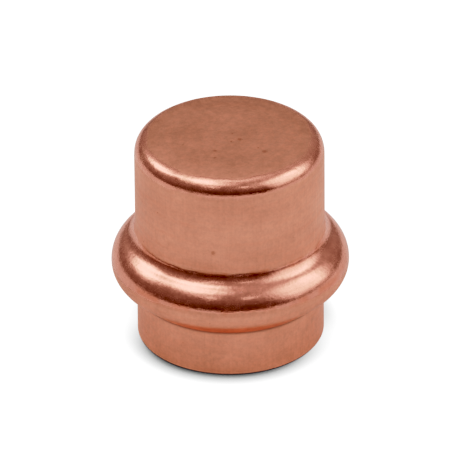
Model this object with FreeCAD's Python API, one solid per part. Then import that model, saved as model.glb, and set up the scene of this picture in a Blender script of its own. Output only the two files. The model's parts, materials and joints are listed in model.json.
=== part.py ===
# Copper press cap for 22 mm copper tube. A drawn copper cup closes the tube's end, and a rolled-out bead
# near its open mouth holds a rubber sealing ring. A press tool later squeezes the bead onto the tube.
# Frame: origin at the centre of the mouth's rim plane, +Z along the axis to the closed end. Millimetres.
import FreeCAD, Part

import math
import os

# Tube and socket
tube_radius = 11.0
tube_gap = 0.15
bore_radius = tube_radius + tube_gap
overall_height = 28.65

# Copper thickness, thinner at the guide lip, where the roller stretched it
wall = 1.1
lip_wall = 0.95

# Outside of the plain lengths
body_radius = bore_radius + wall
lip_radius = bore_radius + lip_wall

# Closed end: flat in the middle, falling gently to the shoulder's round
crown_radius = 8.5
crown_slope = math.radians(8.0)
crown_round = 25.0
crown_drop = (body_radius - crown_radius) * math.tan(crown_slope)
shoulder_round = 2.25

# Bead: a crest, tighter below than above, between two straight flanks that meet the body and the lip in roots
crest_radius = 15.4
crest_level = 10.35
crest_upper_round = 3.8
crest_lower_round = 2.9
upper_flank_slope = math.radians(30.0)
lower_flank_slope = math.radians(40.0)
body_root_round = 2.4
lip_root_round = 0.9

# Deburred rim of the mouth
rim_outer_round = 0.15
rim_lead_in = 0.25

# Sealing ring, free in the bead before pressing
seal_section = 3.15
seal_gap = 0.03

# Straight stretches shorter than this are left out of the outlines
shortest_line = 1e-6


def bead_corners(depth, upper_radius, lower_radius):
    """Corners (r, z, rounding radius) of the bead at this depth below its outside, from the body to the lip.

    The crest is two corners on a vertical line, placed so that their rounding arcs meet at the crest's level.
    """
    crest = crest_radius - depth
    upper_round = crest_upper_round - depth
    lower_round = crest_lower_round - depth
    upper_level = crest_level + upper_round * math.tan((math.pi / 2.0 - upper_flank_slope) / 2.0)
    lower_level = crest_level - lower_round * math.tan((math.pi / 2.0 - lower_flank_slope) / 2.0)
    root_level = upper_level + (crest - upper_radius) * math.tan(upper_flank_slope)
    crease_level = lower_level - (crest - lower_radius) * math.tan(lower_flank_slope)
    return [
        (upper_radius, root_level, body_root_round + depth),
        (crest, upper_level, upper_round),
        (crest, lower_level, lower_round),
        (lower_radius, crease_level, lip_root_round + depth),
    ]


def round_corner(before, corner, after, radius):
    """Start, middle and end of the arc that rounds one corner of an outline in the XZ plane."""
    towards_before = (before - corner).normalize()
    towards_after = (after - corner).normalize()
    half_angle = towards_before.getAngle(towards_after) / 2.0
    bisector = (towards_before + towards_after).normalize()
    centre = corner + bisector * (radius / math.sin(half_angle))
    tangent_length = radius / math.tan(half_angle)
    start = corner + towards_before * tangent_length
    end = corner + towards_after * tangent_length
    return start, centre - bisector * radius, end


def add_line(edges, start, end):
    """Adds a straight edge, unless two arcs meet here and leave nothing between them."""
    if start.distanceToPoint(end) > shortest_line:
        edges.append(Part.LineSegment(start, end).toShape())


def rounded_outline(corners):
    """Closed wire through corners (r, z, rounding radius) in the XZ plane, with its corners rounded."""
    points = [FreeCAD.Vector(r, 0.0, z) for r, z, _ in corners]
    edges = []
    first_point = None
    last_point = None
    for index, (_, _, radius) in enumerate(corners):
        corner = points[index]
        if radius > 0.0:
            after = points[(index + 1) % len(points)]
            start, middle, end = round_corner(points[index - 1], corner, after, radius)
        else:
            start, middle, end = corner, None, corner
        if last_point is None:
            first_point = start
        else:
            add_line(edges, last_point, start)
        if middle is not None:
            edges.append(Part.Arc(start, middle, end).toShape())
        last_point = end
    add_line(edges, last_point, first_point)
    return Part.Wire(edges)


def revolve(corners):
    """Solid of revolution about the Z axis."""
    face = Part.Face(rounded_outline(corners))
    solid = face.revolve(FreeCAD.Vector(0, 0, 0), FreeCAD.Vector(0, 0, 1), 360.0)
    return Part.Solid(solid.Shells[0]) if solid.ShapeType != "Solid" else solid


def cap_body():
    """The copper cup: closed end, shoulder, socket wall, hollow bead and guide lip, in one piece."""
    inside_bead = bead_corners(wall, bore_radius, bore_radius)
    return revolve(
        [
            (0.0, overall_height, 0.0),
            (crown_radius, overall_height, crown_round),
            (body_radius, overall_height - crown_drop, shoulder_round),
            *bead_corners(0.0, body_radius, lip_radius),
            (lip_radius, 0.0, rim_outer_round),
            (bore_radius + rim_lead_in, 0.0, 0.0),
            (bore_radius, rim_lead_in, 0.0),
            *reversed(inside_bead),
            (bore_radius, overall_height - crown_drop - wall, shoulder_round - wall),
            (crown_radius, overall_height - wall, crown_round),
            (0.0, overall_height - wall, 0.0),
        ]
    )


def o_ring():
    """The round-section sealing ring, standing just clear of the bead's inside."""
    section_radius = seal_section / 2.0
    ring_radius = crest_radius - wall - seal_gap - section_radius
    centre = FreeCAD.Vector(0, 0, crest_level)
    return Part.makeTorus(ring_radius, section_radius, centre, FreeCAD.Vector(0, 0, 1))


parts = {
    "cap_body": cap_body,
    "o_ring": o_ring,
}

os.makedirs("parts", exist_ok=True)
for name, make in parts.items():
    make().exportStep(os.path.join("parts", name + ".step"))
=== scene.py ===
import json
import math
from types import SimpleNamespace

import bpy
from mathutils import Matrix, Vector, noise


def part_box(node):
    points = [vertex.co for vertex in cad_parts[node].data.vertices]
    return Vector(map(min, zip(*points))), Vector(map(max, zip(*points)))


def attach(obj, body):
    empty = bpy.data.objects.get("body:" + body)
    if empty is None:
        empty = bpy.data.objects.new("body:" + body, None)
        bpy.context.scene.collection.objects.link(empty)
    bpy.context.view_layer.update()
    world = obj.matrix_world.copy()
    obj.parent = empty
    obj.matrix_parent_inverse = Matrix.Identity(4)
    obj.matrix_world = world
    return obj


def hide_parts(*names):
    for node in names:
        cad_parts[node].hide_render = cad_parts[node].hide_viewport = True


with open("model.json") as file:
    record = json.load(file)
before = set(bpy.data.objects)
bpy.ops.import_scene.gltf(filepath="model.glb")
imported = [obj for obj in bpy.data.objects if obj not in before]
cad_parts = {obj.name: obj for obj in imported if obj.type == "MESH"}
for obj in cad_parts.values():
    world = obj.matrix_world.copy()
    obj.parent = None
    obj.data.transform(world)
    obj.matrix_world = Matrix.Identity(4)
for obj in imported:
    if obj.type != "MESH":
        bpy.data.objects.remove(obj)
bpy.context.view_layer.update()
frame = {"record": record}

MM = 0.001

# ---------------------------------------------------------------- sizes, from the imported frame, in metres
mounts = {mount["name"]: mount for mount in frame["record"]["mounts"]}
_, cap_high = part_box("cap_body")
ring_low, ring_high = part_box("o_ring")

overall_height = cap_high.z
crest_radius = max(cap_high.x, cap_high.y)
bore_radius = mounts["tube_socket"]["dims"]["r_mm"] * MM
crest_level = (ring_low.z + ring_high.z) / 2.0
seal_radius = (ring_high.z - ring_low.z) / 2.0
seal_outer_radius = max(ring_high.x, ring_high.y)

# Copper thickness, thinner at the guide lip
wall = 1.1 * MM
lip_wall = 0.95 * MM
body_radius = bore_radius + wall
lip_radius = bore_radius + lip_wall

# Rounds and slopes of the outline
crown_radius = 8.5 * MM
crown_slope = math.radians(8.0)
crown_round = 25.0 * MM
crown_drop = (body_radius - crown_radius) * math.tan(crown_slope)
shoulder_round = 2.25 * MM
crest_upper_round = 3.8 * MM
crest_lower_round = 2.9 * MM
upper_flank_slope = math.radians(30.0)
lower_flank_slope = math.radians(40.0)
body_root_round = 2.4 * MM
lip_root_round = 0.9 * MM
rim_outer_round = 0.15 * MM
rim_lead_in = 0.25 * MM
rim_edge_round = 0.07 * MM

# Radius on the rim's flat where the outline of the outside ends and that of the inside starts
rim_split_radius = bore_radius + 0.35 * MM

# Mesh points: their spacing, the most and fewest in a ring, and lengths that count as nothing
outer_spacing = 0.26 * MM
inner_spacing = 0.5 * MM
arc_step = math.radians(9.0)
most_segments = 384
least_segments = 12
shortest_line = 0.001 * MM
axis_tolerance = 1e-9


# ---------------------------------------------------------------- outline
def bead_corners(depth, upper_radius, lower_radius):
    """Corners (r, z, rounding radius) of the bead, from the body to the lip, at a depth below its outside.

    The crest is two corners on a vertical line, placed so that their arcs meet at the crest's level.
    """
    crest = crest_radius - depth
    upper_round = crest_upper_round - depth
    lower_round = crest_lower_round - depth
    upper_level = crest_level + upper_round * math.tan((math.pi / 2.0 - upper_flank_slope) / 2.0)
    lower_level = crest_level - lower_round * math.tan((math.pi / 2.0 - lower_flank_slope) / 2.0)
    root_level = upper_level + (crest - upper_radius) * math.tan(upper_flank_slope)
    crease_level = lower_level - (crest - lower_radius) * math.tan(lower_flank_slope)
    return [
        (upper_radius, root_level, body_root_round + depth),
        (crest, upper_level, upper_round),
        (crest, lower_level, lower_round),
        (lower_radius, crease_level, lip_root_round + depth),
    ]


def corner_arc(before, corner, after, radius):
    """Points of the arc that rounds one corner of an outline, in order."""
    towards_before = (before - corner).normalized()
    towards_after = (after - corner).normalized()
    half_angle = towards_before.angle(towards_after) / 2.0
    bisector = (towards_before + towards_after).normalized()
    centre = corner + bisector * (radius / math.sin(half_angle))
    tangent_length = radius / math.tan(half_angle)
    start = corner + towards_before * tangent_length - centre
    end = corner + towards_after * tangent_length - centre
    sweep = start.angle_signed(end)
    steps = max(3, math.ceil(abs(sweep) / arc_step), math.ceil(abs(sweep) * radius / outer_spacing))
    turn = sweep / steps
    return [centre + Matrix.Rotation(-turn * step, 2) @ start for step in range(steps + 1)]


def line_points(start, end, spacing):
    """Points strictly between two ends of a straight stretch."""
    steps = max(1, math.ceil((end - start).length / spacing))
    return [start.lerp(end, step / steps) for step in range(1, steps)]


def outline(corners, spacing):
    """Points (r, z) of an open outline given by corners (r, z, rounding radius). Its two ends are sharp."""
    points = [Vector((r, z)) for r, z, _ in corners]
    stretches = []
    for index, (_, _, radius) in enumerate(corners):
        if radius > 0.0:
            stretches.append(corner_arc(points[index - 1], points[index], points[index + 1], radius))
        else:
            stretches.append([points[index]])
    result = []
    for index, stretch in enumerate(stretches):
        if result:
            result += line_points(result[-1], stretch[0], spacing)
            arcs_meet = (stretch[0] - result[-1]).length < shortest_line
            stretch = stretch[1:] if arcs_meet else stretch
        result += stretch
    return result


def outer_outline():
    """Outside of the cap, from the middle of the closed end to the rim."""
    return outline(
        [
            (0.0, overall_height, 0.0),
            (crown_radius, overall_height, crown_round),
            (body_radius, overall_height - crown_drop, shoulder_round),
            *bead_corners(0.0, body_radius, lip_radius),
            (lip_radius, 0.0, rim_outer_round),
            (rim_split_radius, 0.0, 0.0),
        ],
        outer_spacing,
    )


def inner_outline():
    """Inside of the cap, from the rim to the middle of the closed end."""
    return outline(
        [
            (rim_split_radius, 0.0, 0.0),
            (bore_radius + rim_lead_in, 0.0, rim_edge_round),
            (bore_radius, rim_lead_in, rim_edge_round),
            *reversed(bead_corners(wall, bore_radius, bore_radius)),
            (bore_radius, overall_height - crown_drop - wall, shoulder_round - wall),
            (crown_radius, overall_height - wall, crown_round),
            (0.0, overall_height - wall, 0.0),
        ],
        inner_spacing,
    )


# ---------------------------------------------------------------- meshes
def segments_at(radius):
    """Points in a ring of this radius: one on the axis, and fewer near it, so that faces keep their size."""
    if radius < axis_tolerance:
        return 1
    segments = most_segments
    while segments > least_segments and 2.0 * math.pi * radius / segments < outer_spacing / 2.0:
        segments //= 2
    return segments


def revolved_mesh(name, profile, closed):
    """Mesh of revolution of a profile (r, z). An open profile starts and ends on the axis."""
    vertices = []
    rings = []
    for r, z in profile:
        count = segments_at(r)
        rings.append(range(len(vertices), len(vertices) + count))
        vertices += [
            (r * math.cos(turn), r * math.sin(turn), z)
            for turn in (2.0 * math.pi * step / count for step in range(count))
        ]
    faces = []
    following = rings[1:] + rings[:1] if closed else rings[1:]
    for upper, lower in zip(rings, following):
        faces += ring_faces(upper, lower)
    mesh = bpy.data.meshes.new(name)
    mesh.from_pydata(vertices, [], faces)
    mesh.validate()
    mesh.update()
    mesh.shade_smooth()
    return mesh


def ring_faces(upper, lower):
    """Faces between two rings of equal size, or with only one point, or half as many, on one of them."""
    above, below = len(upper), len(lower)
    if above == 1:
        return [(upper[0], lower[i], lower[(i + 1) % below]) for i in range(below)]
    if below == 1:
        return [(upper[i], lower[0], upper[(i + 1) % above]) for i in range(above)]
    if above == below:
        return [(upper[i], lower[i], lower[(i + 1) % below], upper[(i + 1) % above]) for i in range(above)]
    faces = []
    if below == 2 * above:
        for i in range(above):
            left, middle, right = lower[2 * i], lower[2 * i + 1], lower[(2 * i + 2) % below]
            after = upper[(i + 1) % above]
            faces += [(upper[i], left, middle), (upper[i], middle, after), (after, middle, right)]
    elif above == 2 * below:
        for i in range(below):
            left, middle, right = upper[2 * i], upper[2 * i + 1], upper[(2 * i + 2) % above]
            after = lower[(i + 1) % below]
            faces += [(lower[i], middle, left), (lower[i], after, middle), (after, right, middle)]
    else:
        raise ValueError(f"rings of {above} and {below} points don't join")
    return faces


# ---------------------------------------------------------------- relief of the copper
def smooth_step(value, low, high):
    """0 below low, 1 above high, with a smooth change between them."""
    share = min(1.0, max(0.0, (value - low) / (high - low)))
    return share * share * (3.0 - 2.0 * share)


# Small dents that handling leaves: turn about the axis (degrees, 0 towards the camera), level, radius, depth
handling_dents = [
    (-36.0, overall_height - 1.1 * MM, 0.55 * MM, 0.030 * MM),
    (-33.5, overall_height - 1.6 * MM, 0.40 * MM, 0.022 * MM),
    (-27.0, crest_level + 2.2 * MM, 0.45 * MM, 0.024 * MM),
    (21.0, overall_height - 1.7 * MM, 0.60 * MM, 0.025 * MM),
    (48.0, crest_level + 1.0 * MM, 0.50 * MM, 0.018 * MM),
    (150.0, crest_level + 1.6 * MM, 0.60 * MM, 0.030 * MM),
    (205.0, overall_height - 1.2 * MM, 0.55 * MM, 0.028 * MM),
    (260.0, 3.2 * MM, 0.50 * MM, 0.020 * MM),
]

# Waves that forming leaves: over the whole outside, as puckers below the shoulder, and round the bead
general_wave_length = 6.0 * MM
general_wave_depth = 0.012 * MM
general_wave_seed = 11.0
pucker_length = 2.2 * MM
pucker_depth = 0.030 * MM
pucker_seed = 23.0
pucker_stretch = 0.35
pucker_start_level = overall_height - 3.2 * MM
pucker_full_level = overall_height - 2.0 * MM
pucker_start_radius = body_radius - 0.9 * MM
pucker_full_radius = body_radius - 0.2 * MM
roller_wave_length = 7.0 * MM
roller_wave_depth = 0.020 * MM
roller_wave_seed = 37.0
roller_wave_start_radius = body_radius + 0.2 * MM
roller_wave_full_radius = body_radius + 1.2 * MM

# Burnish on the bead: from its root down to this level, and lower at the sides
bead_burnish_start_radius = body_radius - 0.01 * MM
bead_burnish_full_radius = body_radius + 0.20 * MM
bead_burnish_level = crest_level + 0.9 * MM
bead_burnish_fade = 0.5 * MM
bead_burnish_lean = 0.8 * MM

# Burnish on the shoulder: lighter, and lower on the side where the tool pressed harder
shoulder_burnish = 0.72
shoulder_start_level = overall_height - 2.3 * MM
shoulder_full_level = overall_height - 1.5 * MM
shoulder_start_radius = body_radius - 2.1 * MM
shoulder_full_radius = body_radius - 1.4 * MM
shoulder_lean = 0.5 * MM
shoulder_lean_turn = math.radians(-35.0)

# Redder tint along both borders of the bead's burnish, and painted shade in the crease under the bead
tint_root_radius = body_radius + 0.15 * MM
tint_root_width = 0.3 * MM
tint_crest_width = 0.8 * MM
plain_side_limit = body_radius + 0.02 * MM
crease_shade_level = bead_corners(0.0, body_radius, lip_radius)[-1][1] + 0.2 * MM
crease_core = 0.1 * MM
crease_width = 0.60 * MM


def outside_radius_at(outside, level):
    """Radius of the outside at a level, from its outline."""
    for upper, lower in zip(outside, outside[1:]):
        if lower.y <= level <= upper.y and upper.y > lower.y:
            return lower.x + (upper.x - lower.x) * (level - lower.y) / (upper.y - lower.y)
    return body_radius


def dent_centre(outside, turn, level):
    """Point on the outside of the cap at this turn and level."""
    angle = math.radians(turn - 90.0)
    r = outside_radius_at(outside, level)
    return Vector((r * math.cos(angle), r * math.sin(angle), level))


def wave(point, length, seed):
    """Smooth noise from 0 to 1 at a point, with the given wave length."""
    return 0.5 + 0.5 * noise.noise(point / length + Vector((seed, 0.0, 0.0)))


def relief_depth(point, dents):
    """How far the real surface lies inside the ideal one, from forming and from handling."""
    r = point.xy.length
    depth = general_wave_depth * wave(point, general_wave_length, general_wave_seed)
    around = Vector((point.x, point.y, point.z * pucker_stretch))
    below_shoulder = smooth_step(point.z, pucker_start_level, pucker_full_level)
    on_side = smooth_step(r, pucker_start_radius, pucker_full_radius)
    depth += pucker_depth * below_shoulder * on_side * wave(around, pucker_length, pucker_seed)
    on_bead = smooth_step(r, roller_wave_start_radius, roller_wave_full_radius)
    depth += roller_wave_depth * on_bead * wave(around, roller_wave_length, roller_wave_seed)
    for centre, radius, dent_depth in dents:
        distance = (point - centre).length
        if distance < radius:
            depth += dent_depth * (1.0 - smooth_step(distance, 0.0, radius))
    return depth


def press_relief(mesh, outside, outside_count):
    """Moves the outside's points inwards by their relief depth."""
    dents = [
        (dent_centre(outside, turn, level), radius, depth)
        for turn, level, radius, depth in handling_dents
    ]
    normals = [vertex.normal.copy() for vertex in mesh.vertices]
    for vertex in mesh.vertices[:outside_count]:
        vertex.co -= normals[vertex.index] * relief_depth(vertex.co, dents)
    mesh.update()


def polish_at(point):
    """1 where forming tools burnished the bead, less on the shoulder, 0 where the copper is matte."""
    r = point.xy.length
    turn = math.atan2(point.x, -point.y)
    on_bead = smooth_step(r, bead_burnish_start_radius, bead_burnish_full_radius)
    end_level = bead_burnish_level - bead_burnish_lean * math.sin(turn) ** 2
    bead = on_bead * smooth_step(point.z, end_level - bead_burnish_fade, end_level + bead_burnish_fade)
    lean = shoulder_lean * (0.5 + 0.5 * math.cos(turn - shoulder_lean_turn))
    on_shoulder = smooth_step(point.z, shoulder_start_level - lean, shoulder_full_level - lean)
    shoulder = on_shoulder * smooth_step(r, shoulder_start_radius, shoulder_full_radius)
    return max(bead, shoulder_burnish * shoulder)


def border_tint_at(point):
    """1 along both borders of the bead's burnish, where the colour is given a redder tint."""
    r = point.xy.length
    if point.z < crest_level or r < plain_side_limit:
        return 0.0
    at_root = 1.0 - smooth_step(abs(r - tint_root_radius), 0.0, tint_root_width)
    at_crest = 1.0 - smooth_step(abs(point.z - bead_burnish_level), 0.0, tint_crest_width)
    return max(at_root, at_crest)


def crease_shade_at(point):
    """1 in the crease under the bead, where a darker colour is painted in as shade."""
    off_crease = math.hypot(point.xy.length - lip_radius, point.z - crease_shade_level)
    return 1.0 - smooth_step(off_crease, crease_core, crease_width)


# ---------------------------------------------------------------- pieces
def add_point_values(mesh, name, values):
    """Stores one number per point, for the material to read."""
    attribute = mesh.attributes.new(name, "FLOAT", "POINT")
    attribute.data.foreach_set("value", values)


def place(name, mesh, material, node):
    """Puts a mesh in the scene as the piece that stands for a CAD node."""
    mesh.materials.append(material)
    piece = bpy.data.objects.new(name, mesh)
    bpy.context.scene.collection.objects.link(piece)
    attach(piece, "root")
    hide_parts(node)


def make_cap():
    """The copper cup, with its relief, replacing the CAD node."""
    outside = outer_outline()
    profile = outside + inner_outline()[1:]
    mesh = revolved_mesh("cap_body_copper", profile, closed=False)
    outside_count = sum(segments_at(point.x) for point in outside)
    on_outside = [vertex.index < outside_count for vertex in mesh.vertices]
    finish = {}
    for name, finish_at in (("polish", polish_at), ("crease", crease_shade_at), ("border_tint", border_tint_at)):
        finish[name] = [
            finish_at(vertex.co) if outer else 0.0
            for vertex, outer in zip(mesh.vertices, on_outside)
        ]
    finish["inside"] = [0.0 if outer else 1.0 for outer in on_outside]
    press_relief(mesh, outside, outside_count)
    for name, values in finish.items():
        add_point_values(mesh, name, values)
    place("cap_body_copper", mesh, copper_material(), "cap_body")


# Sealing ring: the flash that its mould leaves at the parting plane, and the points round its section
flash_height = 0.05 * MM
flash_width = 0.12 * MM
seal_clearance = 0.01 * MM
seal_steps = 96


def make_seal():
    """The rubber sealing ring, with the thin flash lines of its mould, replacing the CAD node."""
    section = seal_radius - seal_clearance
    centre_r = seal_outer_radius - seal_radius
    points = []
    for step in range(seal_steps):
        angle = 2.0 * math.pi * step / seal_steps
        from_plane = abs(math.sin(angle)) * section
        flash = flash_height * (1.0 - smooth_step(from_plane, 0.0, flash_width))
        reach = section - flash_height + flash
        points.append(Vector((centre_r + reach * math.cos(angle), crest_level + section * math.sin(angle))))
    mesh = revolved_mesh("o_ring_rubber", points[::-1], closed=True)
    place("o_ring_rubber", mesh, rubber_material(), "o_ring")


# ---------------------------------------------------------------- shader helpers
# What a noise's values keep within nearly always, and mostly
noise_range = (0.2, 0.8)
usual_noise = (0.3, 0.7)


class Nodes:
    """Adds and links shader nodes. An input is a number, a tuple or another node's output."""

    def __init__(self, tree):
        self.tree = tree
        self.tree.nodes.clear()

    def add(self, kind, inputs=None, **settings):
        """New node of this kind, with its settings, and its inputs by name or number."""
        new = self.tree.nodes.new(kind)
        for name, value in settings.items():
            setattr(new, name, value)
        for key, value in (inputs or {}).items():
            self.feed(new.inputs[key], value)
        return new

    def feed(self, socket, value):
        """Links an output to an input, or sets the input to a value."""
        if isinstance(value, bpy.types.NodeSocket):
            self.tree.links.new(value, socket)
        else:
            socket.default_value = value

    def math(self, operation, *values, clamp=False):
        """Result of one operation on numbers."""
        new = self.add("ShaderNodeMath", dict(enumerate(values)), operation=operation, use_clamp=clamp)
        return new.outputs[0]

    def vector(self, operation, *values):
        """Result of one operation on vectors."""
        new = self.add("ShaderNodeVectorMath", dict(enumerate(values)), operation=operation)
        return new.outputs["Value"] if operation in ("LENGTH", "DOT_PRODUCT") else new.outputs[0]

    def noise(self, position, wave_length, detail=2.0, rough=0.5):
        """Noise with the given wave length in metres."""
        inputs = {"Vector": position, "Scale": 1.0 / wave_length, "Detail": detail, "Roughness": rough}
        return self.add("ShaderNodeTexNoise", inputs).outputs[0]

    def ramp(self, value, low, high, to_low=0.0, to_high=1.0):
        """Smoothly takes low..high to to_low..to_high, and stays within them."""
        inputs = {"Value": value, "From Min": low, "From Max": high, "To Min": to_low, "To Max": to_high}
        return self.add("ShaderNodeMapRange", inputs, interpolation_type="SMOOTHSTEP").outputs["Result"]

    def vary(self, pattern, least, most):
        """Spreads a noise's usual values over least..most."""
        return self.ramp(pattern, *usual_noise, least, most)

    def blend(self, share, at_none, at_full):
        """Number that goes from at_none at share 0 to at_full at share 1."""
        return self.ramp(share, 0.0, 1.0, at_none, at_full)

    def centred(self, pattern):
        """Noise moved to vary about 0."""
        return self.math("SUBTRACT", pattern, 0.5)

    def total(self, *values):
        """Sum of all the values."""
        result = values[0]
        for value in values[1:]:
            result = self.math("ADD", result, value)
        return result

    def mix(self, share, a, b):
        """Colour a at share 0, b at share 1."""
        new = self.add("ShaderNodeMix", data_type="RGBA")
        for index, value in ((0, share), (6, a), (7, b)):
            self.feed(new.inputs[index], value)
        return new.outputs[2]

    def scaled(self, colour, amount):
        """The colour or vector with each part multiplied by the same number."""
        return self.add("ShaderNodeVectorMath", {0: colour, 3: amount}, operation="SCALE").outputs[0]

    def seen_apart(self, shader, seen_by_camera):
        """Shader that the camera sees as another one than everything else does."""
        is_camera = self.add("ShaderNodeLightPath").outputs["Is Camera Ray"]
        shaders = {1: shader.outputs[0], 2: seen_by_camera.outputs[0]}
        return self.add("ShaderNodeMixShader", {0: is_camera, **shaders})

    def attribute(self, name):
        """Number stored on the mesh under this name."""
        return self.add("ShaderNodeAttribute", attribute_name=name).outputs["Fac"]


def new_material(name):
    """Empty material, and the helper that adds its nodes."""
    material = bpy.data.materials.new(name)
    material.use_nodes = True
    return material, Nodes(material.node_tree)


def add_surface(n, colour, roughness, height, metallic):
    """Ends a material with one surface whose fine relief has this height in metres."""
    bump = n.add("ShaderNodeBump", {"Height": height, "Distance": 1.0, "Strength": 1.0})
    surface = n.add("ShaderNodeBsdfPrincipled", {
        "Base Color": colour,
        "Metallic": metallic,
        "Roughness": roughness,
        "Normal": bump.outputs[0],
    })
    n.add("ShaderNodeOutputMaterial", {"Surface": surface.outputs[0]})


# ---------------------------------------------------------------- materials
# Copper: colours and roughness of its states
matte_copper = (0.93, 0.622, 0.525, 1.0)
burnished_copper = (0.95, 0.61, 0.53, 1.0)
inner_copper = (0.74, 0.46, 0.37, 1.0)
speck_colour = (0.52, 0.28, 0.21, 1.0)
stain_colour = (0.74, 0.47, 0.38, 1.0)
# Painted shade: this colour stands for the shade in the crease under the bead
crease_shade_colour = (0.68, 0.54, 0.49, 1.0)
# Redder tint given to the colour along both borders of the bead's burnish
border_tint_colour = (0.82, 0.43, 0.33, 1.0)
matte_roughness = 0.40
burnished_roughness = 0.215
inside_added_roughness = 0.08
speck_added_roughness = 0.15
crease_added_roughness = 0.20

# Copper: range that each pattern gives the shade or the roughness. Blotches set the shade, the others add
blotch_shade = (0.965, 1.02)
mottle_shade = (-0.03, 0.03)
grain_shade = (-0.018, 0.018)
draw_line_shade = (-0.012, 0.012)
mottle_roughness = (-0.03, 0.04)
roller_line_roughness = (-0.04, 0.05)

# Copper: wave lengths of its patterns. Draw lines run along the axis, roller lines and waves round it
blotch_length = 5.0 * MM
mottle_length = 0.9 * MM
grain_length = 0.34 * MM
dimple_length = 0.65 * MM
draw_line_width = 0.35 * MM
draw_line_stretch = 0.04
roller_line_width = 0.40 * MM
roller_wave_width = 1.3 * MM
roller_drift_length = 9.0 * MM
roller_drift = 2.4 * MM
tint_patch_length = 4.0 * MM
tint_patch_edge = (0.42, 0.62)

# Copper: heights of its fine relief
mottle_height = 0.0018 * MM
draw_line_height = 0.0015 * MM
speck_height = -0.002 * MM
matte_grain_height = 0.0055 * MM
burnished_grain_height = 0.010 * MM
matte_dimple_height = 0.002 * MM
burnished_dimple_height = 0.014 * MM
roller_line_height = 0.010 * MM
roller_wave_height = 0.030 * MM

# Copper: how uneven the burnish's borders are, and the polish values between which the burnish fades in
edge_wave_length = 2.4 * MM
edge_unevenness = 1.3
edge_mottle_share = 0.4
burnish_edge = (0.25, 0.75)

# Copper: strength of its marks, its border tint and the painted shade in its crease
small_speck_strength = 0.32
large_speck_strength = 0.30
speck_left_by_burnish = 0.3
ring_strength = 0.13
crease_shade_strength = 0.8
border_tint_strength = 0.4

# Specks: size of the cells, smallest and largest radius, share of the cells that have one
small_specks = (1.6 * MM, 0.05 * MM, 0.13 * MM, 0.35)
large_specks = (3.6 * MM, 0.16 * MM, 0.36 * MM, 0.50)
dust_specks = (0.9 * MM, 0.02 * MM, 0.05 * MM, 0.4)

# Specks: how uneven their outlines are, and where they fade, both as shares of the radius
speck_unevenness = 1.6
speck_edge = (0.4, 1.3)

# Drying rings: size of the cells, radius, width, share of the cells that have one
rinse_rings = (6.0 * MM, 1.3 * MM, 0.22 * MM, 0.25)
ring_unevenness = 0.4

# Rubber: greasy in some patches and dry in others
greasy_rubber = (0.016, 0.016, 0.017, 1.0)
dry_rubber = (0.026, 0.026, 0.025, 1.0)
greasy_roughness = 0.30
dry_roughness = 0.48
patch_length = 2.5 * MM
patch_colour_edge = (0.35, 0.65)
patch_roughness_edge = (0.4, 0.6)
rubber_grain_length = 0.12 * MM
rubber_grain_height = 0.003 * MM
rubber_grain_roughness = (-0.04, 0.06)
dust_colour = (0.22, 0.21, 0.20, 1.0)
dust_strength = 0.5


def specks(n, position, cell, smallest, largest, share):
    """Mask of scattered specks with uneven edges: one in some of the cells of this size."""
    cells = n.add("ShaderNodeTexVoronoi", {"Vector": position, "Scale": 1.0 / cell})
    random_part = n.add("ShaderNodeSeparateColor", {0: cells.outputs["Color"]})
    radius = n.blend(random_part.outputs[1], smallest / cell, largest / cell)
    chosen = n.math("LESS_THAN", random_part.outputs[0], share)
    shift = n.math("MULTIPLY_ADD", n.noise(position, smallest), speck_unevenness, -speck_unevenness / 2.0)
    off_centre = n.math("ADD", n.math("DIVIDE", cells.outputs["Distance"], radius), shift)
    return n.math("MULTIPLY", n.ramp(off_centre, *speck_edge, 1.0, 0.0), chosen)


def drying_rings(n, position, cell, radius, width, share):
    """Mask of faint rings that drops of rinse water leave when they dry."""
    cells = n.add("ShaderNodeTexVoronoi", {"Vector": position, "Scale": 1.0 / cell})
    random_part = n.add("ShaderNodeSeparateColor", {0: cells.outputs["Color"]})
    chosen = n.math("LESS_THAN", random_part.outputs[2], share)
    smallest = (1.0 - ring_unevenness) * radius / cell
    largest = (1.0 + ring_unevenness) * radius / cell
    radius_here = n.ramp(n.noise(position, radius), *noise_range, smallest, largest)
    off_ring = n.math("ABSOLUTE", n.math("SUBTRACT", cells.outputs["Distance"], radius_here))
    return n.math("MULTIPLY", n.ramp(off_ring, 0.0, width / cell, 1.0, 0.0), chosen)


def round_axis_position(n, position):
    """Position that changes little on the way round the axis, so that patterns become lines round it."""
    parts = n.add("ShaderNodeSeparateXYZ", {0: position})
    radius = n.vector("LENGTH", n.vector("MULTIPLY", position, (1.0, 1.0, 0.0)))
    drift = n.math("MULTIPLY", n.noise(position, roller_drift_length), roller_drift)
    return n.add("ShaderNodeCombineXYZ", {0: radius, 1: parts.outputs["Z"], 2: drift}).outputs[0]


def burnished_share(n, position, mottle):
    """1 where the copper is burnished: the stored polish values, with ragged borders.

    The raggedness fades out at both ends of the border, as 4 x polish x (1 - polish) does.
    """
    polish = n.attribute("polish")
    matte = n.math("SUBTRACT", 1.0, polish)
    near_edge = n.math("MULTIPLY", n.math("MULTIPLY", polish, matte), 4.0)
    waviness = n.noise(position, edge_wave_length)
    uneven = n.math("MULTIPLY_ADD", n.centred(mottle), edge_mottle_share, n.centred(waviness))
    ragged = n.math("MULTIPLY_ADD", n.math("MULTIPLY", uneven, near_edge), edge_unevenness, polish)
    return n.ramp(ragged, *burnish_edge)


def speck_marks(n, position, burnished):
    """Mask of small and large specks. Burnishing rubbed most of the small ones away."""
    small = specks(n, position, *small_specks)
    small = n.math("MULTIPLY", small, n.blend(burnished, 1.0, speck_left_by_burnish))
    small = n.math("MULTIPLY", small, small_speck_strength)
    large = n.math("MULTIPLY", specks(n, position, *large_specks), large_speck_strength)
    return n.math("MAXIMUM", small, large)


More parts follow.
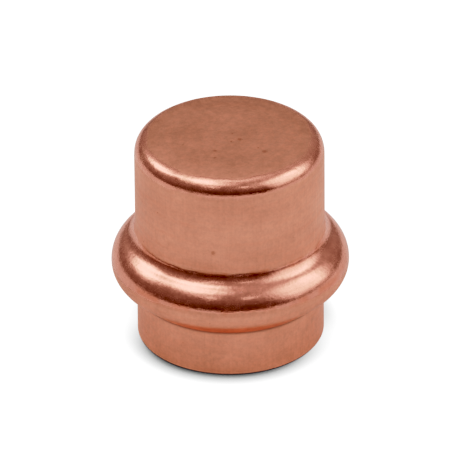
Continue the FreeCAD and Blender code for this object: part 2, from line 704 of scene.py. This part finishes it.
def copper_patterns(n):
    """The masks and patterns that the copper's colour, roughness and relief are made from."""
    position = n.add("ShaderNodeTexCoord").outputs["Object"]
    along_axis = n.vector("MULTIPLY", position, (1.0, 1.0, draw_line_stretch))
    round_axis = round_axis_position(n, position)
    mottle = n.noise(position, mottle_length, detail=4.0, rough=0.6)
    burnished = burnished_share(n, position, mottle)
    tint_patches = n.ramp(n.noise(position, tint_patch_length), *tint_patch_edge)
    return SimpleNamespace(
        inside=n.attribute("inside"),
        crease=n.attribute("crease"),
        border_tint=n.math("MULTIPLY", n.attribute("border_tint"), tint_patches),
        burnished=burnished,
        blotch=n.noise(position, blotch_length, detail=3.0),
        mottle=mottle,
        grain=n.noise(position, grain_length),
        dimples=n.noise(position, dimple_length),
        draw_lines=n.noise(along_axis, draw_line_width, detail=3.0, rough=0.6),
        roller_lines=n.noise(round_axis, roller_line_width, detail=3.0, rough=0.6),
        roller_waves=n.noise(round_axis, roller_wave_width),
        marks=speck_marks(n, position, burnished),
        rings=drying_rings(n, position, *rinse_rings),
    )


def copper_colour(n, patterns):
    """Base colour of the copper."""
    colour = n.mix(patterns.burnished, matte_copper, burnished_copper)
    colour = n.mix(patterns.inside, colour, inner_copper)
    colour = n.scaled(colour, n.total(
        n.vary(patterns.blotch, *blotch_shade),
        n.vary(patterns.mottle, *mottle_shade),
        n.vary(patterns.grain, *grain_shade),
        n.vary(patterns.draw_lines, *draw_line_shade),
    ))
    colour = n.mix(n.math("MULTIPLY", patterns.rings, ring_strength), colour, stain_colour)
    # Painted shade in the crease under the bead
    colour = n.mix(n.math("MULTIPLY", patterns.crease, crease_shade_strength), colour, crease_shade_colour)
    colour = n.mix(n.math("MULTIPLY", patterns.border_tint, border_tint_strength), colour, border_tint_colour)
    return n.mix(patterns.marks, colour, speck_colour)


def copper_roughness(n, patterns):
    """Roughness of the copper."""
    roughness = n.total(
        n.blend(patterns.burnished, matte_roughness, burnished_roughness),
        n.vary(patterns.mottle, *mottle_roughness),
        n.vary(patterns.roller_lines, *roller_line_roughness),
        n.math("MULTIPLY", patterns.marks, speck_added_roughness),
        n.math("MULTIPLY", patterns.crease, crease_added_roughness),
    )
    on_inside = n.math("MULTIPLY", patterns.inside, inside_added_roughness)
    return n.math("ADD", roughness, on_inside, clamp=True)


def copper_height(n, patterns):
    """Height of the copper's fine relief, in metres."""
    burnished = patterns.burnished
    layers = [
        (patterns.mottle, mottle_height),
        (patterns.grain, n.blend(burnished, matte_grain_height, burnished_grain_height)),
        (patterns.draw_lines, draw_line_height),
        (n.math("MULTIPLY", patterns.roller_lines, burnished), roller_line_height),
        (n.math("MULTIPLY", patterns.roller_waves, burnished), roller_wave_height),
        (patterns.dimples, n.blend(burnished, matte_dimple_height, burnished_dimple_height)),
        (patterns.marks, speck_height),
    ]
    return n.total(*[n.math("MULTIPLY", pattern, height) for pattern, height in layers])


def copper_material():
    """Pickled copper: matte and faintly mottled, burnished where tools pressed, with specks and stains, and
    painted shade in the crease under the bead.
    """
    material, n = new_material("copper")
    patterns = copper_patterns(n)
    colour = copper_colour(n, patterns)
    roughness = copper_roughness(n, patterns)
    add_surface(n, colour, roughness, copper_height(n, patterns), metallic=1.0)
    return material


def rubber_material():
    """Black moulded EPDM, with a fine grain, a patchy film of grease and specks of dust."""
    material, n = new_material("black_rubber")
    position = n.add("ShaderNodeTexCoord").outputs["Object"]
    patches = n.noise(position, patch_length, detail=3.0)
    grain = n.noise(position, rubber_grain_length, detail=3.0, rough=0.6)
    dust = n.math("MULTIPLY", specks(n, position, *dust_specks), dust_strength)
    colour = n.mix(n.ramp(patches, *patch_colour_edge), greasy_rubber, dry_rubber)
    colour = n.mix(dust, colour, dust_colour)
    patch_roughness = n.ramp(patches, *patch_roughness_edge, greasy_roughness, dry_roughness)
    roughness = n.math("ADD", patch_roughness, n.vary(grain, *rubber_grain_roughness))
    add_surface(n, colour, roughness, n.math("MULTIPLY", grain, rubber_grain_height), metallic=0.0)
    return material


# ---------------------------------------------------------------- stage, light and camera
# Contrast of a product photograph, as light in the scene: what turns black, what turns white, and steps
# between them (light as a share of the way from black to white, and how bright it shows)
black_point = 0.16
white_point = 1.05
contrast_steps = [(0.075, 0.04), (0.19, 0.16), (0.34, 0.36), (0.51, 0.60), (0.79, 0.85)]

# Table and backdrop: the light they give and return, and how bright the camera sees them
floor_size = 8.0
table_glow = 0.325
table_colour = (0.50, 0.50, 0.50, 1.0)
table_seen = 1.17
backdrop_seen = 1.0
plain_white = (1.0, 1.0, 1.0, 1.0)

# Shade that the camera sees on the table along the rim: how dark it is and how far it reaches. It is darkest
# at this turn about the axis (degrees, 0 towards the camera) and opposite, and weaker at the sides.
contact_shade = 2.05
contact_reach = 3.2 * MM
contact_turn = -10.0
contact_at_sides = 0.27

# Softboxes far away: turn about the axis (degrees, 0 behind the camera, 90 on its right), height above the
# horizon (degrees), width and height (degrees), softness of the edges (share of the half size), strength
softboxes = [
    (-115.0, 40.0, 32.0, 24.0, 0.6, 0.82),
    (-71.0, 68.0, 36.0, 31.0, 0.6, 0.76),
    (79.0, 33.0, 48.0, 50.0, 0.6, 0.60),
    (105.0, 29.0, 23.0, 44.0, 0.6, 0.25),
    (180.0, 75.0, 30.0, 18.0, 0.6, 0.32),
    (-24.0, 48.0, 11.0, 8.0, 0.4, 0.75),
    (22.0, 48.0, 10.0, 8.0, 0.4, 0.65),
]

# A ray that points away from a softbox counts as this little ahead, which puts it far outside the edges
least_ahead = 0.001

# Light from the room: its strength level with the horizon, what it gains towards the back, and upwards
fill_strength = 0.302
fill_gain_back = 0.10
fill_gain_up = 0.245


def direction(turn, rise):
    """Unit vector at this turn about the axis and this height above the horizon, both in degrees."""
    around = math.radians(turn)
    above = math.radians(rise)
    return Vector((math.sin(around) * math.cos(above), -math.cos(around) * math.cos(above), math.sin(above)))


def softbox_glow(n, ray, turn, rise, width, height, softness, strength):
    """Light that a ray picks up from one softbox, with soft edges and none from behind it."""
    forward = direction(turn, rise)
    right = forward.cross(Vector((0.0, 0.0, 1.0))).normalized()
    up = right.cross(forward)
    ahead = n.math("MAXIMUM", n.vector("DOT_PRODUCT", ray, forward[:]), least_ahead)
    glow = strength
    for axis, size in ((right, width), (up, height)):
        half = math.tan(math.radians(size / 2.0))
        off_centre = n.math("DIVIDE", n.math("ABSOLUTE", n.vector("DOT_PRODUCT", ray, axis[:])), ahead)
        edge = n.ramp(off_centre, half * (1.0 - softness), half * (1.0 + softness), 1.0, 0.0)
        glow = n.math("MULTIPLY", edge, glow)
    return glow


def make_world():
    """Softboxes on a dim fill. The camera itself sees plain white."""
    world = bpy.data.worlds.new("studio")
    bpy.context.scene.world = world
    world.use_nodes = True
    n = Nodes(world.node_tree)
    ray = n.add("ShaderNodeTexCoord").outputs["Generated"]
    towards = n.add("ShaderNodeSeparateXYZ", {0: ray})
    glow = n.math("MULTIPLY_ADD", towards.outputs["Y"], fill_gain_back, fill_strength)
    glow = n.math("MULTIPLY_ADD", towards.outputs["Z"], fill_gain_up, glow)
    for softbox in softboxes:
        glow = n.math("ADD", softbox_glow(n, ray, *softbox), glow)
    light = n.add("ShaderNodeBackground", {"Color": plain_white, "Strength": glow})
    backdrop = n.add("ShaderNodeBackground", {"Color": plain_white, "Strength": backdrop_seen})
    both = n.seen_apart(light, backdrop)
    n.add("ShaderNodeOutputWorld", {"Surface": both.outputs[0]})


def contact_share(n):
    """How strong the shade along the rim is in each direction from the cap."""
    outwards = n.vector("NORMALIZE", n.add("ShaderNodeTexCoord").outputs["Object"])
    facing = n.math("ABSOLUTE", n.vector("DOT_PRODUCT", outwards, direction(contact_turn, 0.0)[:]))
    return n.blend(facing, contact_at_sides, 1.0)


def table_material():
    """Pale table, lit from below. The camera sees it over-exposed, but for the shade along the rim."""
    material, n = new_material("pale_table")
    sheet = n.add("ShaderNodeBsdfDiffuse", {"Color": table_colour})
    glow = n.add("ShaderNodeEmission", {"Strength": table_glow})
    lit = n.add("ShaderNodeAddShader", {0: sheet.outputs[0], 1: glow.outputs[0]})
    openness = n.add("ShaderNodeAmbientOcclusion", {"Distance": contact_reach}).outputs["AO"]
    shade = n.math("MULTIPLY", n.math("SUBTRACT", 1.0, openness), contact_share(n))
    seen_light = n.math("MULTIPLY_ADD", shade, -contact_shade, table_seen)
    seen = n.add("ShaderNodeEmission", {"Strength": n.math("MAXIMUM", seen_light, black_point)})
    surface = n.seen_apart(lit, seen)
    n.add("ShaderNodeOutputMaterial", {"Surface": surface.outputs[0]})
    return material


def make_floor():
    """The table: one large square under the cap."""
    half = floor_size / 2.0
    corners = [(-half, -half, 0.0), (half, -half, 0.0), (half, half, 0.0), (-half, half, 0.0)]
    mesh = bpy.data.meshes.new("floor")
    mesh.from_pydata(corners, [], [(0, 1, 2, 3)])
    mesh.materials.append(table_material())
    floor = bpy.data.objects.new("floor", mesh)
    bpy.context.scene.collection.objects.link(floor)


# The camera looks down at the cap from far away, as a long lens does
camera_rise = 30.93
camera_distance = 1.11
camera_target = Vector((-0.13 * MM, 0.0, 14.585 * MM))
camera_roll = -0.5
view_width_at_target = 59.135 * MM
nearest_seen = 0.01
farthest_seen = 20.0

# Millimetres, the unit that Blender gives sensor and lens in
sensor_width = 36.0


def make_camera():
    """Camera at the photograph's viewing angle, with the lens that gives the view width at the target."""
    data = bpy.data.cameras.new("camera")
    data.sensor_width = sensor_width
    data.lens = sensor_width * camera_distance / view_width_at_target
    data.clip_start = nearest_seen
    data.clip_end = farthest_seen
    camera = bpy.data.objects.new("camera", data)
    bpy.context.scene.collection.objects.link(camera)
    towards_camera = direction(0.0, camera_rise)
    camera.location = camera_target + towards_camera * camera_distance
    look = (-towards_camera).to_track_quat("-Z", "Y")
    camera.rotation_mode = "QUATERNION"
    camera.rotation_quaternion = look @ Matrix.Rotation(math.radians(camera_roll), 3, "Z").to_quaternion()
    bpy.context.scene.camera = camera


def set_exposure():
    """Plain colour handling with a product photograph's contrast."""
    view = bpy.context.scene.view_settings
    view.view_transform = "Standard"
    view.use_curve_mapping = True
    curves = view.curve_mapping
    curves.black_level = (black_point,) * 3
    curves.white_level = (white_point,) * 3
    combined = curves.curves[3]
    for light, shown in contrast_steps:
        combined.points.new(light, shown)
    curves.update()


make_cap()
make_seal()
make_world()
make_floor()
make_camera()
set_exposure()
